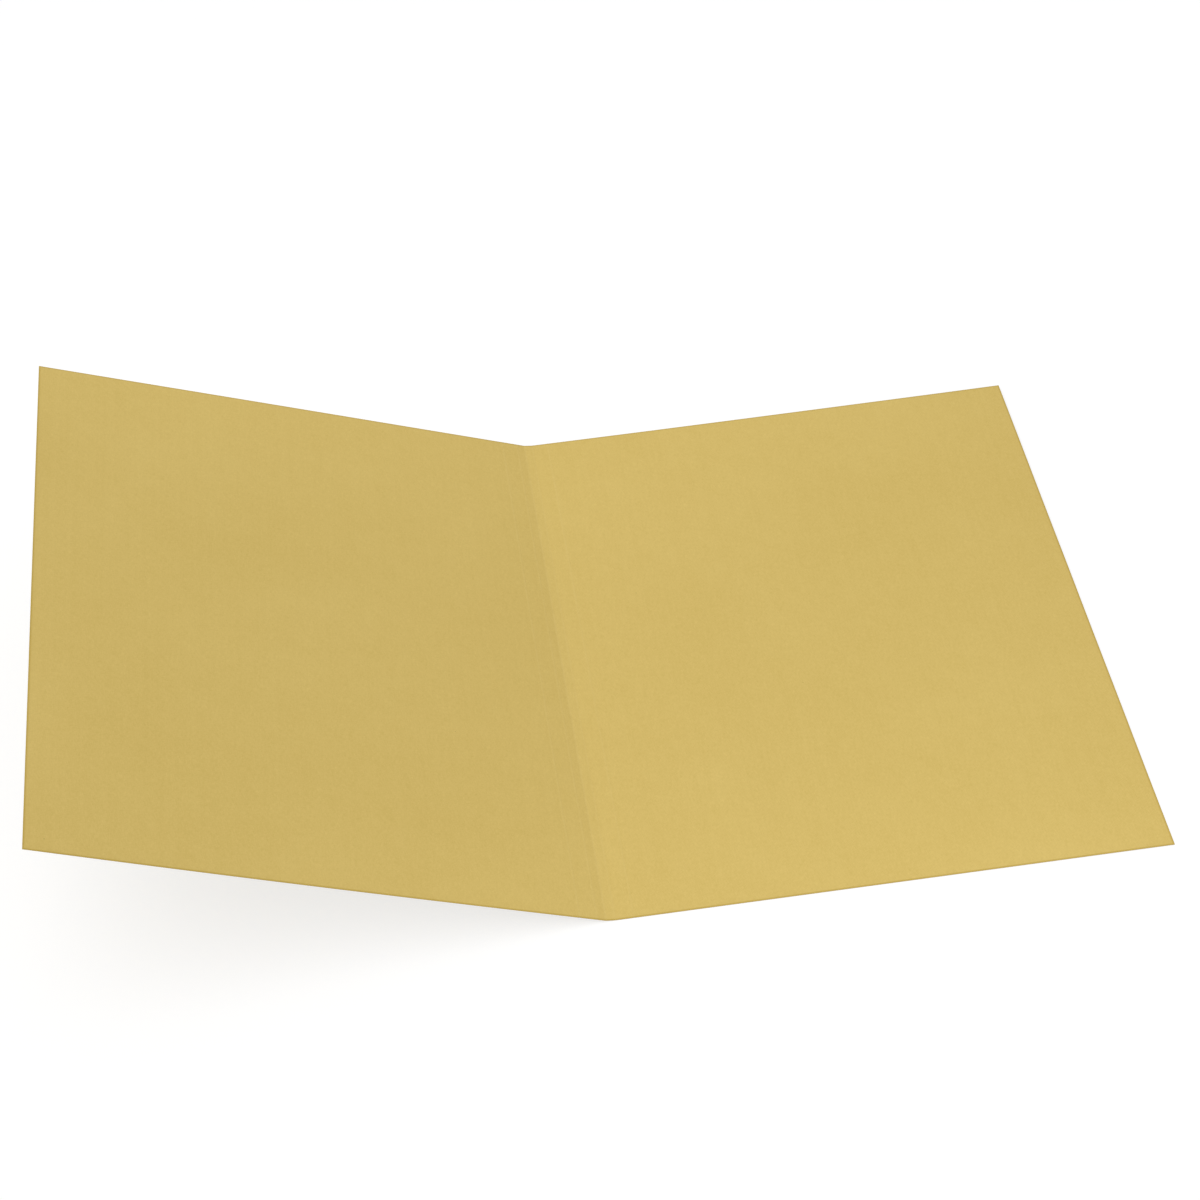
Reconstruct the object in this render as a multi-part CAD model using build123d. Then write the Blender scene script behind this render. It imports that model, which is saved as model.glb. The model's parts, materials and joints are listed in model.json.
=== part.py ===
from build123d import *
import os

# Document folder made from one sheet of manila card, in millimetres.
# The sheet is cut flat, scored along five lines, printed on the front and folded.
# Each panel between two lines is a piece, each score is a round bead of pressed card
# on its fold axis, and the printing is a thin film on the front cover's outer face.
#
# Frame: the back cover lies on z = 0 with its outer face down, the folds run along Y,
# the folder's top edge is at +Y, and the front half opens towards -X. The origin is the
# centre of the closed folder's outline.

# Sheet
CARD = 0.3  # thickness
COVER_WIDTH = 250.0  # main fold to a cover's free edge
HEIGHT = 330.0  # along the folds

# Score lines, alike on both sides of the main fold
MAIN_FOLD = 0.0
INNER_SCORE = 4.0  # from the main fold
OUTER_SCORE = 12.0  # from the main fold
BEAD_RISE = 0.1  # a side score's bead above the inner face
BEAD_CLEARANCE = 0.06  # between a bead and the card edges beside it
GROOVE = 0.1  # bevel of those edges on the outer face

# Rest pose: the back half lies flat and the front half stands part open, in degrees
MAIN_BEND = 13.6
BACK_INNER_BEND = 7.0

# Printing, measured to the middle of each line
INK = 0.02  # thickness of the film
OUTER_LINE = 0.7  # width of the outer border's line
INNER_LINE = 0.4  # width of the inner border's line
BORDER_FROM_SCORE = 6.0  # outer score to the outer border
BORDER_FROM_FREE_EDGE = 20.0
BORDER_FROM_TOP = 18.5
BORDER_FROM_BOTTOM = 17.0
BORDER_CORNER = 12.0  # radius of the outer border's corners
BAND = 5.2  # between the two borders
BOTTOM_BAND = 7.4  # the same along the bottom
RULE_LINE = 0.7  # width of a writing rule
RULE_COUNT = 3
RULE_LENGTH = 122.5
RULE_PITCH = 37.0
RULE_INDENT = 44.5  # outer border to a rule's start
RULE_DROP = 74.0  # outer border to the first rule
SHORT_RULE_LENGTH = 66.0  # ends in line with the long rules
SHORT_RULE_DROP = 54.0  # last long rule to the short one

# Card panels, as the two lines of the sheet that each lies between
PANELS = {
    "front_cover": (-COVER_WIDTH, -OUTER_SCORE),
    "front_outer_strip": (-OUTER_SCORE, -INNER_SCORE),
    "front_inner_strip": (-INNER_SCORE, MAIN_FOLD),
    "back_inner_strip": (MAIN_FOLD, INNER_SCORE),
    "back_outer_strip": (INNER_SCORE, OUTER_SCORE),
    "back_cover": (OUTER_SCORE, COVER_WIDTH),
}
SCORES = {
    "front_outer_score": -OUTER_SCORE,
    "front_inner_score": -INNER_SCORE,
    "main_fold": MAIN_FOLD,
    "back_inner_score": INNER_SCORE,
    "back_outer_score": OUTER_SCORE,
}


def bead_radius(line):
    """Radius of a score's bead, which is also its axis's height over the outer face.

    The main fold turns about the inner face, so that the halves can lie on each other.
    """
    return CARD if line == MAIN_FOLD else (CARD + BEAD_RISE) / 2


def set_back(line):
    """Distance from a line of the sheet to the card edge beside it, none at a free edge."""
    return bead_radius(line) + BEAD_CLEARANCE if line in SCORES.values() else 0.0


def panel(left, right):
    """Card between two lines of the sheet, bevelled on its outer face beside each score."""
    start = left + set_back(left)
    end = right - set_back(right)
    plate = Pos((start + end) / 2, 0, CARD / 2) * Box(end - start, HEIGHT, CARD)
    outer_edges = plate.edges().filter_by(Axis.Y).group_by(Axis.Z)[0].sort_by(Axis.X)
    scored = [edge for edge, line in zip(outer_edges, (left, right)) if set_back(line)]
    return chamfer(scored, GROOVE)


def score(line):
    """Bead along a score, flush with the outer face and proud of the inner one."""
    radius = bead_radius(line)
    return Pos(line, 0, radius) * Rot(90, 0, 0) * Cylinder(radius, HEIGHT)


def film(sketch):
    """Ink on the outer face, which is the underside while the sheet lies flat."""
    return extrude(sketch, -INK)


def border_frame(inset, bottom_inset, line_width):
    """Rounded line frame, set in from the outer border's line by the two insets."""
    left = -COVER_WIDTH + BORDER_FROM_FREE_EDGE + inset
    right = -OUTER_SCORE - BORDER_FROM_SCORE - inset
    bottom = -HEIGHT / 2 + BORDER_FROM_BOTTOM + bottom_inset
    top = HEIGHT / 2 - BORDER_FROM_TOP - inset
    width = right - left
    height = top - bottom
    corner = BORDER_CORNER - inset
    half = line_width / 2
    outside = RectangleRounded(width + line_width, height + line_width, corner + half)
    inside = RectangleRounded(width - line_width, height - line_width, corner - half)
    return Pos((left + right) / 2, (bottom + top) / 2) * (outside - inside)


def rule(length, drop):
    """Writing rule that ends in line with the others, a drop below the outer border."""
    end = -OUTER_SCORE - BORDER_FROM_SCORE - RULE_INDENT - RULE_LENGTH
    y = HEIGHT / 2 - BORDER_FROM_TOP - drop
    return Pos(end + length / 2, y) * Rectangle(length, RULE_LINE)


def printing():
    """The ink films by name."""
    drops = [RULE_DROP + RULE_PITCH * i for i in range(RULE_COUNT)]
    long_rules = Sketch() + [rule(RULE_LENGTH, drop) for drop in drops]
    short_rule = rule(SHORT_RULE_LENGTH, drops[-1] + SHORT_RULE_DROP)
    return {
        "outer_border_print": film(border_frame(0, 0, OUTER_LINE)),
        "inner_border_print": film(border_frame(BAND, BOTTOM_BAND, INNER_LINE)),
        "long_rules_print": film(long_rules),
        "short_rule_print": film(short_rule),
    }


def front_of(line):
    """Names of the pieces on the front side of a score."""
    panels = [name for name, (_, right) in PANELS.items() if right <= line]
    return panels + [name for name, place in SCORES.items() if place < line]


def fold(pieces, line, bend):
    """Turns what lies on the front side of a score up about that score's axis."""
    axis = Axis((line, 0, bead_radius(line)), (0, 1, 0))
    for name in [*PRINTED, *front_of(line)]:
        pieces[name] = pieces[name].rotate(axis, bend)


prints = printing()
PRINTED = list(prints)
pieces = {name: panel(*lines) for name, lines in PANELS.items()}
pieces |= {name: score(line) for name, line in SCORES.items()}
pieces |= prints
fold(pieces, MAIN_FOLD, MAIN_BEND)
fold(pieces, INNER_SCORE, BACK_INNER_BEND)

os.makedirs("parts", exist_ok=True)
for name, piece in pieces.items():
    export_step(Pos(-COVER_WIDTH / 2, 0, 0) * piece, f"parts/{name}.step")
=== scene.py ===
import json
import math

import bpy
import numpy as np
from mathutils import Matrix, Vector


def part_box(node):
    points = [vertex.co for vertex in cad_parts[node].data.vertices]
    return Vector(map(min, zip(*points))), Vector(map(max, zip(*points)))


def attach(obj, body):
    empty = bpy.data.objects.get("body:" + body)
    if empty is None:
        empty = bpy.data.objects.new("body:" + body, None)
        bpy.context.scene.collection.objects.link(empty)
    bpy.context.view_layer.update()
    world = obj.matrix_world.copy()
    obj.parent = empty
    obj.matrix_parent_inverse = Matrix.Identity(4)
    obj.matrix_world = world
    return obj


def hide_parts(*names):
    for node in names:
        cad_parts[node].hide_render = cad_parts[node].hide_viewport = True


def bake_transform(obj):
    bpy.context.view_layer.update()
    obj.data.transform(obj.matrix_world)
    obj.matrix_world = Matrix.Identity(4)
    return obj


# Document folder made from one sheet of manila card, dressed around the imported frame, in metres.
# The sheet is one surface over flat coordinates: u runs across the folds from the main fold, positive
# towards the back cover's free edge, v runs along the folds towards the top edge, and h is the height
# over the sheet's outer face. Each panel and each score is a stretch of that surface between two
# values of u, folded into the rest pose.

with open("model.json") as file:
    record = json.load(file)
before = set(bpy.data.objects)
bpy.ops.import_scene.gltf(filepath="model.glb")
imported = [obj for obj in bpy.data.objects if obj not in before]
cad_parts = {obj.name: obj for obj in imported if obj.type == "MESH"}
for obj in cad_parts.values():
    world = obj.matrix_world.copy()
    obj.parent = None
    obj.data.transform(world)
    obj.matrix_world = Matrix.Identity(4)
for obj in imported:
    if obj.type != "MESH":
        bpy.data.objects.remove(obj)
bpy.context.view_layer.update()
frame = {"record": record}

MM = 0.001


def middle(node):
    """Centre of a node's box at rest."""
    low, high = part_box(node)
    return (low + high) / 2


# Sheet, read from the frame. The origin is the centre of the closed folder's outline.
back_low, back_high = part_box("back_cover")
COVER_WIDTH = 2 * back_high.x
HEIGHT = back_high.y - back_low.y
CARD = back_high.z - back_low.z
FOLD_X = -back_high.x
OUTER_SCORE = middle("back_outer_score").x - FOLD_X
INNER_SCORE = middle("back_inner_score").x - FOLD_X
SIDE_AXIS = middle("back_outer_score").z  # height that a side score turns about
MAIN_AXIS = CARD  # the main fold turns about the inner face

# Rest pose, in degrees: the bend at the main fold and at the back half's inner score
MAIN_BEND = 13.6
BACK_INNER_BEND = 7.0

# Scores as they are pressed into the card
SCORE_HALF = 0.75 * MM  # half a score's width
BEAD_RISE = 0.03 * MM  # on the inner face
GROOVE_DEPTH = 0.06 * MM  # in the outer face

# The card's own shape: its cut edges are a little rounded, one corner of each cover curls in,
# and the covers are faintly wavy
EDGE_SOFT = 0.09 * MM  # how far in from a cut edge the rounding reaches
EDGE_LEFT = 0.5  # share of the thickness left at the edge itself
BACK_CURL = 1.3 * MM  # at the back cover's top corner
FRONT_CURL = 2.6 * MM  # at the front cover's bottom corner
COCKLE = 0.12 * MM  # height of the wave
COCKLE_LENGTH = 96 * MM
COCKLE_SLANT = 0.4  # how far a crest shifts along v for each length across

# Mesh spacing
COVER_STEP = 4 * MM
STRIP_STEP = 0.8 * MM
SCORE_STEP = 0.1 * MM
# Distances of the closer rows, from a cut edge and from a seam between two pieces
EDGE_ROWS = (0.0, 0.02 * MM, 0.05 * MM, 0.09 * MM, 0.4 * MM, 1.2 * MM)
SEAM_ROWS = (0.0, 0.01 * MM)

# Printing
INK = 0.02 * MM  # thickness of the film over the card
INK_SINK = 0.005 * MM  # and into it
INK_STEP = 0.6 * MM
OUTER_LINE = 0.7 * MM
INNER_LINE = 0.4 * MM
RULE_LINE = 0.7 * MM
RULE_COUNT = 3
OUTER_CORNER = 12.0 * MM  # corner radii, to the middle of the line
INNER_CORNER = 6.8 * MM
CORNER_POINTS = 24
RAGGED = 0.05  # size of each wave in a line's edge, as a share of half its width
RAGGED_LENGTHS = (2.1 * MM, 3.7 * MM, 7.9 * MM)
RAGGED_STARTS = (0.0, 2.0)  # where the waves start on each of the two edges

SCORES = {
    "front_outer_score": -OUTER_SCORE,
    "front_inner_score": -INNER_SCORE,
    "main_fold": 0.0,
    "back_inner_score": INNER_SCORE,
    "back_outer_score": OUTER_SCORE,
}
PANELS = {
    "front_cover": (-COVER_WIDTH, -OUTER_SCORE),
    "front_outer_strip": (-OUTER_SCORE, -INNER_SCORE),
    "front_inner_strip": (-INNER_SCORE, 0.0),
    "back_inner_strip": (0.0, INNER_SCORE),
    "back_outer_strip": (INNER_SCORE, OUTER_SCORE),
    "back_cover": (OUTER_SCORE, COVER_WIDTH),
}
BODY = {node: body for body, nodes in frame["record"]["behaviour"]["bodies"].items() for node in nodes}
# Scores on a joint, with the two bodies that the joint joins, back half first
BENDING = {
    "back_outer_score": ("back_cover", "back_spine"),
    "main_fold": ("back_spine", "front_spine"),
    "front_outer_score": ("front_spine", "front_cover"),
}


# Shape of the sheet


def smooth_step(t):
    """3t^2 - 2t^3 between 0 and 1, and flat outside."""
    t = np.clip(t, 0, 1)
    return t * t * (3 - 2 * t)


def folded(u, v, h):
    """Flat coordinates to the rest pose.

    What lies on the front side of a bent score turns up about the score's axis. Across the width
    of the score the turn grows from nothing to the whole bend as a smooth step.
    """
    bends = ((0.0, MAIN_AXIS, MAIN_BEND), (INNER_SCORE, SIDE_AXIS, BACK_INNER_BEND))
    x, z = u, h
    for line, axis, bend in bends:
        turn = math.radians(bend) * smooth_step((line + SCORE_HALF - u) / (2 * SCORE_HALF))
        dx, dz = x - line, z - axis
        x = line + dx * np.cos(turn) + dz * np.sin(turn)
        z = axis - dx * np.sin(turn) + dz * np.cos(turn)
    return np.stack([x + FOLD_X, v, z], axis=-1)


def warp(u, v):
    """How far a cover stands off its flat panel.

    A curl that grows with the square of the distance from the outer score, towards the back cover's
    top corner and the front cover's bottom corner, and a slow wave along the free edge.
    """
    out = np.clip((np.abs(u) - OUTER_SCORE) / (COVER_WIDTH - OUTER_SCORE), 0, 1)
    along = v / HEIGHT + 0.5
    curl = np.where(u > 0, BACK_CURL * along, FRONT_CURL * (1 - along))
    wave = np.sin(2 * np.pi * (v + COCKLE_SLANT * u) / COCKLE_LENGTH)
    return curl * out**2 + COCKLE * out * (1 + wave) / 2


def pressed(u):
    """1 in the middle of a score and 0 outside it, as half a cosine wave."""
    away = np.min([np.abs(u - line) for line in SCORES.values()], axis=0)
    return (1 + np.cos(np.pi * np.clip(away / SCORE_HALF, 0, 1))) / 2


def outer_face(u, v):
    """Height of the outer face: the warp, and the groove that the scoring rule left."""
    return warp(u, v) + GROOVE_DEPTH * pressed(u)


def faces(u, v):
    """Heights of the outer and the inner face.

    The inner face has a bead over each groove. Near a cut edge both draw in by a parabola.
    """
    outer = outer_face(u, v)
    inner = warp(u, v) + CARD + BEAD_RISE * pressed(u)
    inward = np.minimum(COVER_WIDTH - np.abs(u), HEIGHT / 2 - np.abs(v))
    thick = 1 - (1 - EDGE_LEFT) * (1 - np.clip(inward / EDGE_SOFT, 0, 1)) ** 2
    centre = (outer + inner) / 2
    half = (inner - outer) / 2 * thick
    return centre - half, centre + half


def steps(start, end, spacing):
    """Even values from start to end, about one spacing apart."""
    return np.linspace(start, end, max(2, round((end - start) / spacing) + 1))


def rows(start, end, spacing, start_rows, end_rows):
    """Even values from start to end, with the closer rows given at each end."""
    first, last = np.array(start_rows), np.array(end_rows)
    between = steps(start + first[-1], end - last[-1], spacing)
    return np.concatenate([start + first[:-1], between, (end - last[:-1])[::-1]])


def walk(path):
    """Distance from a path's first point to each of its points, along the path."""
    return np.concatenate([[0], np.cumsum(np.linalg.norm(np.diff(path, axis=0), axis=1))])


# Meshes


def new_piece(name, points, quads, place, smooth, material):
    """Object at the origin from points, quads and each point's place on the sheet."""
    mesh = bpy.data.meshes.new(name)
    mesh.from_pydata(points.tolist(), [], quads.tolist())
    mesh.polygons.foreach_set("use_smooth", np.full(len(quads), smooth))
    attribute = mesh.attributes.new("sheet_place", "FLOAT_VECTOR", "POINT")
    attribute.data.foreach_set("vector", place.astype(np.float32).ravel())
    mesh.materials.append(material)
    mesh.update()
    piece = bpy.data.objects.new(name, mesh)
    bpy.context.scene.collection.objects.link(piece)
    return piece


def card_stretch(name, u_rows, material):
    """Closed stretch of the sheet: outer and inner face on one grid of u and v, joined by a rim."""
    v_rows = rows(-HEIGHT / 2, HEIGHT / 2, COVER_STEP, EDGE_ROWS, EDGE_ROWS)
    u, v = np.meshgrid(u_rows, v_rows, indexing="ij")
    heights = np.stack(faces(u, v))
    u, v = np.stack([u, u]), np.stack([v, v])
    side = np.zeros_like(u)
    side[1] = 1
    outer, inner = np.arange(u.size).reshape(u.shape)
    top = np.stack([inner[:-1, :-1], inner[1:, :-1], inner[1:, 1:], inner[:-1, 1:]], -1)
    under = np.stack([outer[:-1, :-1], outer[:-1, 1:], outer[1:, 1:], outer[1:, :-1]], -1)
    low, high = (
        np.concatenate([g[:-1, 0], g[-1, :-1], g[:0:-1, -1], g[0, :0:-1]]) for g in (outer, inner)
    )
    rim = np.stack([low, np.roll(low, -1), np.roll(high, -1), high], -1)
    quads = np.concatenate([top.reshape(-1, 4), under.reshape(-1, 4), rim])
    points = folded(u, v, heights).reshape(-1, 3)
    place = np.stack([u, v, side], -1).reshape(-1, 3)
    return new_piece(name, points, quads, place, True, material)


def ragged_edge(path, across, line_width, start):
    """One edge of a printed line.

    It stands off the path by half the line, times one plus a few small sine waves.
    """
    walked = walk(path)
    waves = [
        np.sin(2 * np.pi * walked / length + start + i) for i, length in enumerate(RAGGED_LENGTHS)
    ]
    return path + across * (line_width / 2 * (1 + RAGGED * sum(waves)))[:, None]


def ink_ribbon(name, paths, line_width, closed, material):
    """Thin film along paths on the outer face: a ring of four points at each step of a path."""
    lift = np.array([-INK, INK_SINK, INK_SINK, -INK])
    points, quads, places, count = [], [], [], 0
    for path in paths:
        ahead = np.roll(path, -1, 0) - path
        behind = path - np.roll(path, 1, 0)
        if not closed:
            ahead[-1], behind[0] = behind[-1], ahead[0]
        tangent = ahead + behind
        tangent /= np.linalg.norm(tangent, axis=1, keepdims=True)
        across = np.stack([-tangent[:, 1], tangent[:, 0]], -1)
        left = ragged_edge(path, across, line_width, RAGGED_STARTS[0])
        right = ragged_edge(path, -across, line_width, RAGGED_STARTS[1])
        ring = np.stack([left, left, right, right], 1)
        u, v = ring[..., 0], ring[..., 1]
        index = count + np.arange(u.size).reshape(u.shape)
        here = index if closed else index[:-1]
        after = np.roll(index, -1, 0) if closed else index[1:]
        sides = np.stack([here, np.roll(here, -1, 1), np.roll(after, -1, 1), after], -1)
        quads.append(sides.reshape(-1, 4))
        if not closed:
            quads.append(np.stack([index[0][::-1], index[-1]]))
        points.append(folded(u, v, outer_face(u, v) + lift).reshape(-1, 3))
        places.append(np.stack([u, v, np.zeros_like(u)], -1).reshape(-1, 3))
        count += u.size
    points, quads, places = (np.concatenate(part) for part in (points, quads, places))
    return new_piece(name, points, quads, places, False, material)


def printed_box(node):
    """A printed node's reach on the sheet: least and greatest u, least and greatest v."""
    low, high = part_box(node)
    score = middle("front_outer_score")
    heading = (score - middle("front_inner_score")).normalized()
    far, near = (
        -OUTER_SCORE - (Vector((x, 0, z)) - score).dot(heading)
        for x, z in ((low.x, high.z), (high.x, low.z))
    )
    return far, near, low.y, high.y


def rounded_frame(far, near, low, high, corner):
    """Closed path round a rectangle with quarter circles at its corners, in even steps."""
    quarter = np.linspace(0, np.pi / 2, CORNER_POINTS)
    centres = (
        (near - corner, high - corner),
        (far + corner, high - corner),
        (far + corner, low + corner),
        (near - corner, low + corner),
    )
    arcs = []
    for i, centre in enumerate(centres):
        angle = quarter + i * np.pi / 2
        arcs.append(np.array(centre) + corner * np.stack([np.cos(angle), np.sin(angle)], -1))
    outline = np.concatenate([*arcs, arcs[0][:1]])
    walked = walk(outline)
    even = steps(0, walked[-1], INK_STEP)[:-1]
    return np.stack([np.interp(even, walked, outline[:, i]) for i in (0, 1)], -1)


def border_path(node, line_width, corner):
    """Middle line of a printed border."""
    far, near, low, high = printed_box(node)
    half = line_width / 2
    return rounded_frame(far + half, near - half, low + half, high - half, corner)


def rule_paths(node, count):
    """Middle lines of a node's writing rules, evenly spaced."""
    far, near, low, high = printed_box(node)
    u = steps(far, near, INK_STEP)
    heights = np.linspace(low + RULE_LINE / 2, high - RULE_LINE / 2, count)
    return [np.stack([u, np.full_like(u, v)], -1) for v in heights]


# Materials

# Colours: each face of the card in its darker and its lighter patches, the outer face's pair painted
# darker as shade, bark specks, rubbed scores, darker cut edges, and the ink where it is thick and where
# it is thin
INSIDE_TINTS = ("#C7AB5A", "#D9BF72")
# The outer face's pair is a darker, greener copy of the card's colours: painted shade
OUTSIDE_SHADED_TINTS = ("#A99041", "#C1AA5D")
SPECK_TINT = "#5E4718"
RUBBED_TINT = "#F0DFA6"
EDGE_DARK_TINT = "#AF923B"
INK_TINTS = ("#2E2002", "#553C05")

# Patterns in the card: width, length along v, turn in degrees, noise detail, share of the tone.
# Real fibres are about 0.03 mm thick. They are drawn coarser, so that they show.
CARD_PATTERNS = {
    "clouds": (6 * MM, 9 * MM, 20, 3.0, 0.3),
    "drift": (90 * MM, 70 * MM, 0, 1.0, 0.3),
    "fibres": (0.45 * MM, 2.6 * MM, 12, 2.0, 0.9),
    "cross_fibres": (0.45 * MM, 2.2 * MM, -58, 2.0, 0.7),
    "streaks": (2.5 * MM, 260 * MM, 0, 1.0, 0.15),
}
PATTERN_BREAKUP = 0.6  # how rough each noise is
NOISE_LOW, NOISE_HIGH = 0.3, 0.7  # what most of a noise lies between
FACES_APART = 400 * MM  # between the two faces in the patterns' space, so that they differ

# Painted shade and highlight beside a score on the outer face, for the light on its shoulders. Ends of
# each
# ramp, from the line towards the free edge, and its change of tone:
SCORE_SHADE_RAMPS = (
    (-4.0 * MM, -0.4 * MM, -0.2),
    (-0.4 * MM, 0.6 * MM, 0.4),
    (0.6 * MM, 4.0 * MM, -0.2),
)

# Bark specks, strewn one to a cell in some of the cells
SPECK_CELL = 14 * MM
SPECK_RADIUS = 0.308 * MM
SPECK_CORE = 0.14 * MM  # radius of its darkest part
SPECK_SHARE = 0.25  # of the cells
SPECK_DEPTH = 0.5

# Rubbing of the scores and darkening near the cut edges: where each starts, where it is full, and how
# strong
RUBBED = (0.6 * MM, 0.1 * MM, 0.04)
EDGE_DARKENING = (1.1 * MM, 0.2 * MM, 0.7)

# Surfaces: uncoated paper hardly shines, and ink that has soaked into it still less
PAPER_IOR = 1.5
CARD_ROUGHNESS = (0.78, 0.92)
CARD_GLOSS = 0.3
FIBRE_HEIGHT = 0.03 * MM
FIBRE_BUMP = 0.4
INK_ROUGHNESS = (0.75, 0.9)
INK_GLOSS = 0.05
INK_PATCH = 0.4 * MM
INK_DETAIL = 2.0

# Numbers of a colour Mix node's sockets
MIX_A, MIX_B, MIX_OUT = 6, 7, 2


def linear(hex_colour):
    """sRGB hex to linear RGBA."""
    part = np.array([int(hex_colour[i : i + 2], 16) for i in (1, 3, 5)]) / 255
    part = np.where(part <= 0.04045, part / 12.92, ((part + 0.055) / 1.055) ** 2.4)
    return (*part.tolist(), 1.0)


def add(tree, kind, sockets, **settings):
    """Adds a node with its settings, and sets or links its sockets by name or number."""
    made = tree.nodes.new(kind)
    for name, value in settings.items():
        setattr(made, name, value)
    for socket, value in sockets.items():
        if isinstance(value, bpy.types.NodeSocket):
            tree.links.new(value, made.inputs[socket])
        else:
            made.inputs[socket].default_value = value
    return made


def new_material(name):
    """Material with an empty node tree."""
    material = bpy.data.materials.new(name)
    material.use_nodes = True
    material.node_tree.nodes.clear()
    return material, material.node_tree


def sheet_coordinates(tree):
    """The sheet's own u, v and side, and a vector of them in which the two faces lie apart."""
    place = add(tree, "ShaderNodeAttribute", {}, attribute_name="sheet_place")
    split = add(tree, "ShaderNodeSeparateXYZ", {0: place.outputs["Vector"]})
    u, v, side = split.outputs
    apart = add(tree, "ShaderNodeMath", {0: side, 1: FACES_APART}, operation="MULTIPLY")
    flat = add(tree, "ShaderNodeCombineXYZ", {0: u, 1: v, 2: apart.outputs[0]})
    return u, v, side, flat.outputs[0]


def pulp_tone(tree, flat):
    """Tone of the pulp, about 0 to 1, as a sum of the patterns, and each pattern's own noise."""
    tone = 0.5 - sum(share for *_, share in CARD_PATTERNS.values()) / 2
    noises = {}
    for name, (width, length, turn, detail, share) in CARD_PATTERNS.items():
        laid = add(
            tree,
            "ShaderNodeMapping",
            {"Vector": flat, "Rotation": (0, 0, math.radians(turn)), "Scale": (width, length, width)},
            vector_type="TEXTURE",
        )
        noise = add(
            tree,
            "ShaderNodeTexNoise",
            {"Vector": laid.outputs[0], "Scale": 1.0, "Detail": detail, "Roughness": PATTERN_BREAKUP},
        )
        noises[name] = noise.outputs[0]
        summed = add(
            tree, "ShaderNodeMath", {0: noises[name], 1: share, 2: tone}, operation="MULTIPLY_ADD"
        )
        tone = summed.outputs[0]
    return tone, noises


def painted_score_shade(tree, tone, out):
    """Tone of the outer face, where a score shows as a step of painted shade and highlight.

    It is painted darker towards the fold and lighter past the line, in place of the light on the score's
    shoulders.
    """
    for line in (INNER_SCORE, OUTER_SCORE):
        for start, end, change in SCORE_SHADE_RAMPS:
            ramp = add(
                tree,
                "ShaderNodeMapRange",
                {"Value": out, "From Min": line + start, "From Max": line + end, "To Max": change},
            )
            stepped = add(tree, "ShaderNodeMath", {0: tone, 1: ramp.outputs[0]}, operation="ADD")
            tone = stepped.outputs[0]
    return tone


def bark_specks(tree, flat):
    """Strength of the dark specks: a soft dot in some of the cells."""
    spread = add(tree, "ShaderNodeVectorMath", {0: flat, "Scale": 1 / SPECK_CELL}, operation="SCALE")
    cells = add(tree, "ShaderNodeTexVoronoi", {"Vector": spread.outputs[0], "Scale": 1.0})
    dot = add(
        tree,
        "ShaderNodeMapRange",
        {
            "Value": cells.outputs["Distance"],
            "From Min": SPECK_RADIUS / SPECK_CELL,
            "From Max": SPECK_CORE / SPECK_CELL,
            "To Max": SPECK_DEPTH,
        },
    )
    lot = add(tree, "ShaderNodeSeparateColor", {0: cells.outputs["Color"]})
    chosen = add(
        tree, "ShaderNodeMath", {0: lot.outputs[0], 1: 1 - SPECK_SHARE}, operation="GREATER_THAN"
    )
    kept = add(
        tree, "ShaderNodeMath", {0: dot.outputs[0], 1: chosen.outputs[0]}, operation="MULTIPLY"
    )
    return kept.outputs[0]


def rubbed_scores(tree, out, side):
    """Strength of the rubbing, on the inner face close to the main fold and each score."""
    start, full, strength = RUBBED
    nearest = out
    for line in (INNER_SCORE, OUTER_SCORE):
        past = add(tree, "ShaderNodeMath", {0: out, 1: line}, operation="SUBTRACT")
        away = add(tree, "ShaderNodeMath", {0: past.outputs[0]}, operation="ABSOLUTE")
        closer = add(tree, "ShaderNodeMath", {0: nearest, 1: away.outputs[0]}, operation="MINIMUM")
        nearest = closer.outputs[0]
    rubbed = add(
        tree,
        "ShaderNodeMapRange",
        {"Value": nearest, "From Min": start, "From Max": full, "To Max": strength},
    )
    inside = add(tree, "ShaderNodeMath", {0: rubbed.outputs[0], 1: side}, operation="MULTIPLY")
    return inside.outputs[0]


def darkened_edges(tree, out, v):
    """Strength of the darkening, close to the cut edges."""
    start, full, strength = EDGE_DARKENING
    from_free = add(tree, "ShaderNodeMath", {0: COVER_WIDTH, 1: out}, operation="SUBTRACT")
    up = add(tree, "ShaderNodeMath", {0: v}, operation="ABSOLUTE")
    from_end = add(tree, "ShaderNodeMath", {0: HEIGHT / 2, 1: up.outputs[0]}, operation="SUBTRACT")
    inward = add(
        tree, "ShaderNodeMath", {0: from_free.outputs[0], 1: from_end.outputs[0]}, operation="MINIMUM"
    )
    darkened = add(
        tree,
        "ShaderNodeMapRange",
        {"Value": inward.outputs[0], "From Min": start, "From Max": full, "To Max": strength},
    )
    return darkened.outputs[0]


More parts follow.
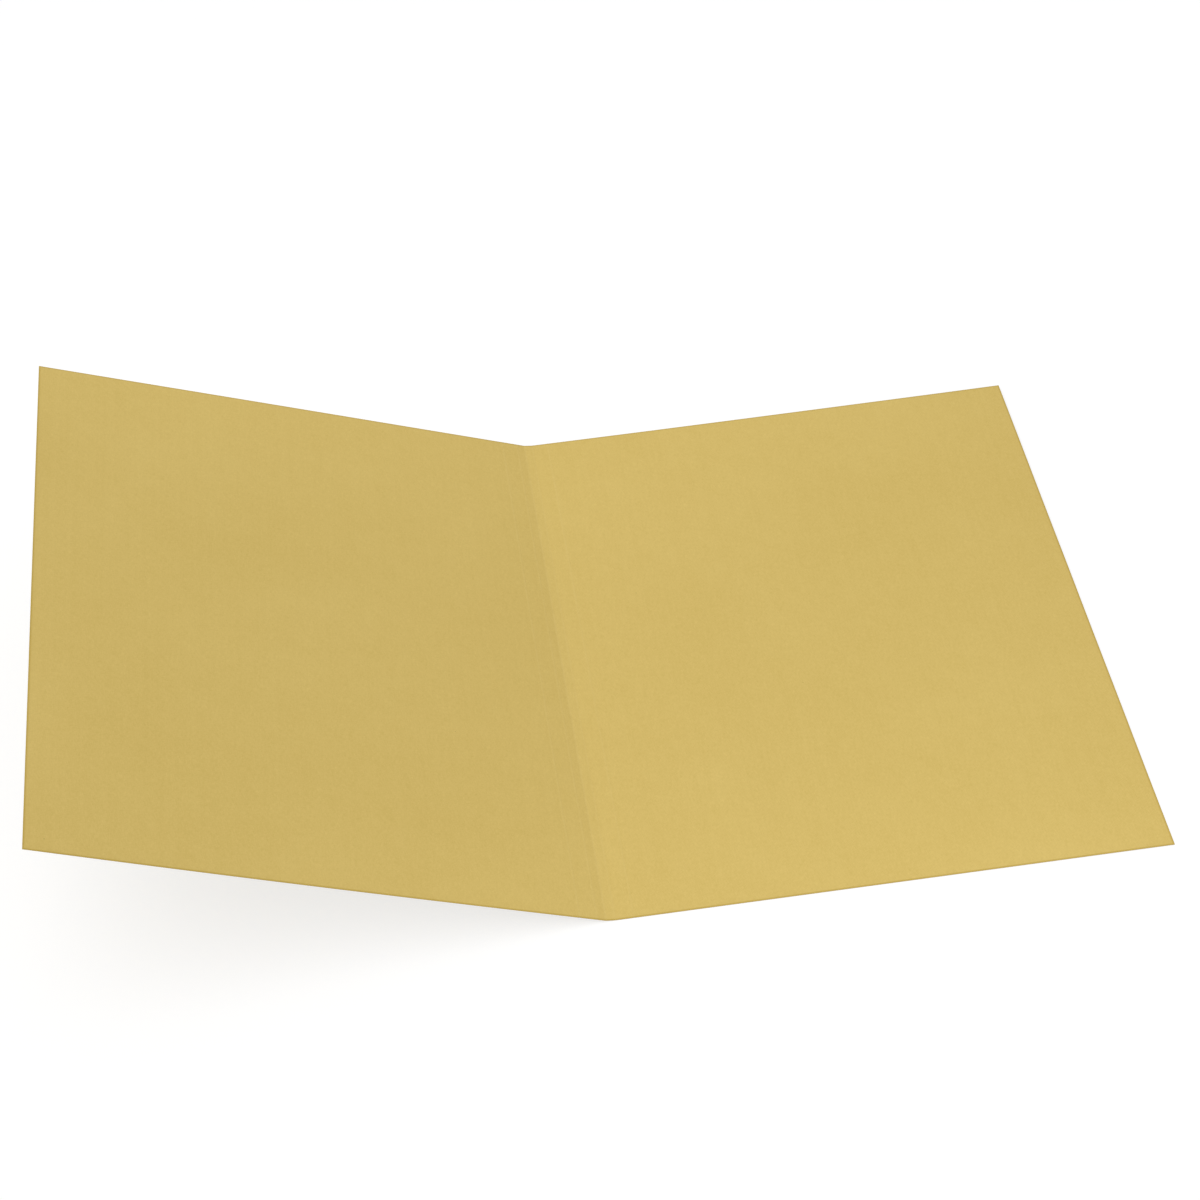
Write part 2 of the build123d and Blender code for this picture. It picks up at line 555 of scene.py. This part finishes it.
def manila_card():
    """Uncoated card from dyed recycled pulp, machine finished between steel rolls.

    The eye gets a matt ochre with cloudy patches a few millimetres wide where the pulp settled
    unevenly, short fibres that lie mostly along the making direction, a few dark bark specks and
    faint long streaks. The outer face is painted darker and greener, as painted shade, and beside
    each score on it painted shade and a painted highlight stand in for the light on its shoulders.
    Cut edges are a deeper ochre, and the tops of the scores are rubbed a little lighter.
    """
    material, tree = new_material("machine_finished_manila_card")
    u, v, side, flat = sheet_coordinates(tree)
    out = add(tree, "ShaderNodeMath", {0: u}, operation="ABSOLUTE").outputs[0]
    tone, noises = pulp_tone(tree, flat)
    # Painted shade and highlight at each score on the outer face
    outer_shaded_tone = painted_score_shade(tree, tone, out)
    inside, outside = (
        add(
            tree,
            "ShaderNodeMix",
            {0: share, MIX_A: linear(dark), MIX_B: linear(light)},
            data_type="RGBA",
        ).outputs[MIX_OUT]
        for share, (dark, light) in ((tone, INSIDE_TINTS), (outer_shaded_tone, OUTSIDE_SHADED_TINTS))
    )
    # The outer face takes its darker tints here: painted shade
    faced = add(tree, "ShaderNodeMix", {0: side, MIX_A: outside, MIX_B: inside}, data_type="RGBA")
    colour = faced.outputs[MIX_OUT]
    marks = (
        (bark_specks(tree, flat), SPECK_TINT),
        (rubbed_scores(tree, out, side), RUBBED_TINT),
        (darkened_edges(tree, out, v), EDGE_DARK_TINT),
    )
    for strength, tint in marks:
        marked = add(
            tree,
            "ShaderNodeMix",
            {0: strength, MIX_A: colour, MIX_B: linear(tint)},
            data_type="RGBA",
        )
        colour = marked.outputs[MIX_OUT]
    smoothest, roughest = CARD_ROUGHNESS
    rough = add(
        tree,
        "ShaderNodeMapRange",
        {
            "Value": noises["fibres"],
            "From Min": NOISE_LOW,
            "From Max": NOISE_HIGH,
            "To Min": smoothest,
            "To Max": roughest,
        },
    )
    relief = add(
        tree, "ShaderNodeMath", {0: noises["fibres"], 1: noises["cross_fibres"]}, operation="ADD"
    )
    bump = add(
        tree,
        "ShaderNodeBump",
        {"Height": relief.outputs[0], "Strength": FIBRE_BUMP, "Distance": FIBRE_HEIGHT},
    )
    bsdf = add(
        tree,
        "ShaderNodeBsdfPrincipled",
        {
            "Base Color": colour,
            "Roughness": rough.outputs[0],
            "IOR": PAPER_IOR,
            "Specular IOR Level": CARD_GLOSS,
            "Normal": bump.outputs[0],
        },
    )
    add(tree, "ShaderNodeOutputMaterial", {"Surface": bsdf.outputs[0]})
    return material


def offset_ink():
    """Thin matt printing ink, soaked into card.

    The eye gets a dark brown line with hardly any gloss, a little lighter where fibres took less.
    """
    material, tree = new_material("offset_printing_ink")
    flat = sheet_coordinates(tree)[3]
    thick, thin = INK_TINTS
    taken = add(
        tree,
        "ShaderNodeTexNoise",
        {"Vector": flat, "Scale": 1 / INK_PATCH, "Detail": INK_DETAIL},
    )
    colour = add(
        tree,
        "ShaderNodeMix",
        {0: taken.outputs[0], MIX_A: linear(thick), MIX_B: linear(thin)},
        data_type="RGBA",
    )
    smoothest, roughest = INK_ROUGHNESS
    rough = add(
        tree,
        "ShaderNodeMapRange",
        {
            "Value": taken.outputs[0],
            "From Min": NOISE_LOW,
            "From Max": NOISE_HIGH,
            "To Min": smoothest,
            "To Max": roughest,
        },
    )
    bsdf = add(
        tree,
        "ShaderNodeBsdfPrincipled",
        {
            "Base Color": colour.outputs[MIX_OUT],
            "Roughness": rough.outputs[0],
            "IOR": PAPER_IOR,
            "Specular IOR Level": INK_GLOSS,
        },
    )
    add(tree, "ShaderNodeOutputMaterial", {"Surface": bsdf.outputs[0]})
    return material


# Pieces


def dress(node):
    """Hides the node's part, as a piece stands in its place."""
    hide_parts(node)


CARD_FINISH = manila_card()
INK_FINISH = offset_ink()

for node, (start, end) in PANELS.items():
    start_at_score = start in SCORES.values()
    end_at_score = end in SCORES.values()
    u_rows = rows(
        start + SCORE_HALF * start_at_score,
        end - SCORE_HALF * end_at_score,
        COVER_STEP if node.endswith("cover") else STRIP_STEP,
        SEAM_ROWS if start_at_score else EDGE_ROWS,
        SEAM_ROWS if end_at_score else EDGE_ROWS,
    )
    panel = card_stretch(f"{node}_card", u_rows, CARD_FINISH)
    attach(panel, BODY[node])
    dress(node)

for node, line in SCORES.items():
    u_rows = rows(line - SCORE_HALF, line + SCORE_HALF, SCORE_STEP, SEAM_ROWS, SEAM_ROWS)
    crease = card_stretch(f"{node}_crease", u_rows, CARD_FINISH)
    if node in BENDING:
        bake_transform(crease)
    else:
        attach(crease, BODY[node])
    dress(node)

# Paths of each print, the width of its line, and whether the paths are closed
PRINTS = {
    "outer_border_print": (
        [border_path("outer_border_print", OUTER_LINE, OUTER_CORNER)],
        OUTER_LINE,
        True,
    ),
    "inner_border_print": (
        [border_path("inner_border_print", INNER_LINE, INNER_CORNER)],
        INNER_LINE,
        True,
    ),
    "long_rules_print": (rule_paths("long_rules_print", RULE_COUNT), RULE_LINE, False),
    "short_rule_print": (rule_paths("short_rule_print", 1), RULE_LINE, False),
}
for node, (paths, line_width, closed) in PRINTS.items():
    print_piece = ink_ribbon(f"{node}_ink", paths, line_width, closed, INK_FINISH)
    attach(print_piece, BODY[node])
    dress(node)


# Studio

FLOOR_SIZE = 8.0
FLOOR_DROP = 0.2 * MM  # under the folder
FLOOR_TINT = "#F9F9F9"
FLOOR_ROUGHNESS = 0.95
FLOOR_SHINE = 0.1
FLOOR_GLOW = 0.7  # share of the floor's look that glows by itself
FLOOR_WHITE = 1.06  # strength of the glow, which makes the lit floor white with it
BACKDROP_WHITE = 1.0
AMBIENT = 0.475
SUN_SHARE = 0.475
SUN_SPREAD = 60  # degrees
SUN_FROM = Vector((-0.30, -0.2, 1.0))
# Long lamps beyond the bottom and the top edge and over the front cover's free edge: place, the
# point that each faces, size across X and along Y in metres, and power in watts
STRIP_LONG = 0.5
STRIP_SHORT = 0.1
STRIP_LAMPS = {
    "near_strip": (
        Vector((0.08, -0.30, 0.16)),
        Vector((0.08, 0, 0)),
        (STRIP_LONG, STRIP_SHORT),
        0.14,
    ),
    "far_strip": (
        Vector((-0.2, 0.31, 0.17)),
        Vector((-0.2, 0, 0)),
        (STRIP_LONG, STRIP_SHORT),
        0.09,
    ),
    "front_strip": (
        Vector((-0.45, -0.1, 0.35)),
        Vector((-0.33, -0.1, 0.08)),
        (STRIP_SHORT, STRIP_LONG),
        0.065,
    ),
}


def seen_directly(tree):
    """1 for a ray from the camera, a reflection or a see-through piece, and 0 for one that lights."""
    ray = add(tree, "ShaderNodeLightPath", {})
    seen = ray.outputs["Is Camera Ray"]
    for name in ("Is Glossy Ray", "Is Transmission Ray"):
        either = add(tree, "ShaderNodeMath", {0: seen, 1: ray.outputs[name]}, operation="MAXIMUM")
        seen = either.outputs[0]
    return seen


def white_floor():
    """Flat square just under the folder, in matt white, that shows partly as paper lit from behind."""
    half = FLOOR_SIZE / 2
    corners = ((-half, -half), (half, -half), (half, half), (-half, half))
    mesh = bpy.data.meshes.new("floor")
    mesh.from_pydata([(x, y, -FLOOR_DROP) for x, y in corners], [], [(0, 1, 2, 3)])
    floor = bpy.data.objects.new("floor", mesh)
    bpy.context.scene.collection.objects.link(floor)
    material, tree = new_material("white_backdrop_paper")
    bsdf = add(
        tree,
        "ShaderNodeBsdfPrincipled",
        {
            "Base Color": linear(FLOOR_TINT),
            "Roughness": FLOOR_ROUGHNESS,
            "Specular IOR Level": FLOOR_SHINE,
        },
    )
    glow = add(tree, "ShaderNodeEmission", {"Strength": FLOOR_WHITE})
    share = add(
        tree, "ShaderNodeMath", {0: seen_directly(tree), 1: FLOOR_GLOW}, operation="MULTIPLY"
    )
    mixed = add(
        tree, "ShaderNodeMixShader", {0: share.outputs[0], 1: bsdf.outputs[0], 2: glow.outputs[0]}
    )
    add(tree, "ShaderNodeOutputMaterial", {"Surface": mixed.outputs[0]})
    mesh.materials.append(material)


def soft_light():
    """White surroundings, one wide lamp overhead and three weak long ones round the folder.

    Together they show a colour about as it is written.
    """
    world = bpy.data.worlds.new("studio")
    world.use_nodes = True
    tree = world.node_tree
    tree.nodes.clear()
    light, white = (
        add(tree, "ShaderNodeBackground", {"Color": linear("#FFFFFF"), "Strength": strength})
        for strength in (AMBIENT, BACKDROP_WHITE)
    )
    mixed = add(
        tree,
        "ShaderNodeMixShader",
        {0: seen_directly(tree), 1: light.outputs[0], 2: white.outputs[0]},
    )
    add(tree, "ShaderNodeOutputWorld", {"Surface": mixed.outputs[0]})
    bpy.context.scene.world = world
    lamp = bpy.data.lights.new("overhead_softbox", "SUN")
    lamp.energy = SUN_SHARE * math.pi
    lamp.angle = math.radians(SUN_SPREAD)
    overhead = bpy.data.objects.new("overhead_softbox", lamp)
    overhead.rotation_euler = SUN_FROM.to_track_quat("Z", "Y").to_euler()
    bpy.context.scene.collection.objects.link(overhead)
    for name, (place, faced, (width, length), power) in STRIP_LAMPS.items():
        lamp = bpy.data.lights.new(name, "AREA")
        lamp.shape = "RECTANGLE"
        lamp.size = width
        lamp.size_y = length
        lamp.energy = power
        strip = bpy.data.objects.new(name, lamp)
        strip.location = place
        strip.rotation_euler = (place - faced).to_track_quat("Z", "Y").to_euler()
        strip.visible_camera = False
        bpy.context.scene.collection.objects.link(strip)


# Camera: looks at a point of the table beside the spine. Angles are in degrees, the lens in mm.
CAMERA_AIM = Vector((-0.1014, 0.0403, 0.0))
CAMERA_DISTANCE = 1.3541
CAMERA_DOWN = 42.02
CAMERA_TURN = 4.34
CAMERA_ROLL = 4.42
CAMERA_LENS = 83.71


def photo_camera():
    """Camera that looks down at the aim, turned clockwise from +Y and rolled about its line of sight."""
    down, turn = math.radians(CAMERA_DOWN), math.radians(CAMERA_TURN)
    level_reach = math.cos(down)
    ahead = Vector((math.sin(turn) * level_reach, math.cos(turn) * level_reach, -math.sin(down)))
    level = ahead.cross(Vector((0, 0, 1))).normalized()
    right = Matrix.Rotation(math.radians(CAMERA_ROLL), 3, ahead) @ level
    up = right.cross(ahead)
    turned = Matrix((right, up, -ahead)).transposed().to_4x4()
    data = bpy.data.cameras.new("camera")
    data.lens = CAMERA_LENS
    camera = bpy.data.objects.new("camera", data)
    camera.matrix_world = Matrix.Translation(CAMERA_AIM - ahead * CAMERA_DISTANCE) @ turned
    bpy.context.scene.collection.objects.link(camera)
    bpy.context.scene.camera = camera


white_floor()
soft_light()
photo_camera()
bpy.context.scene.view_settings.view_transform = "Standard"
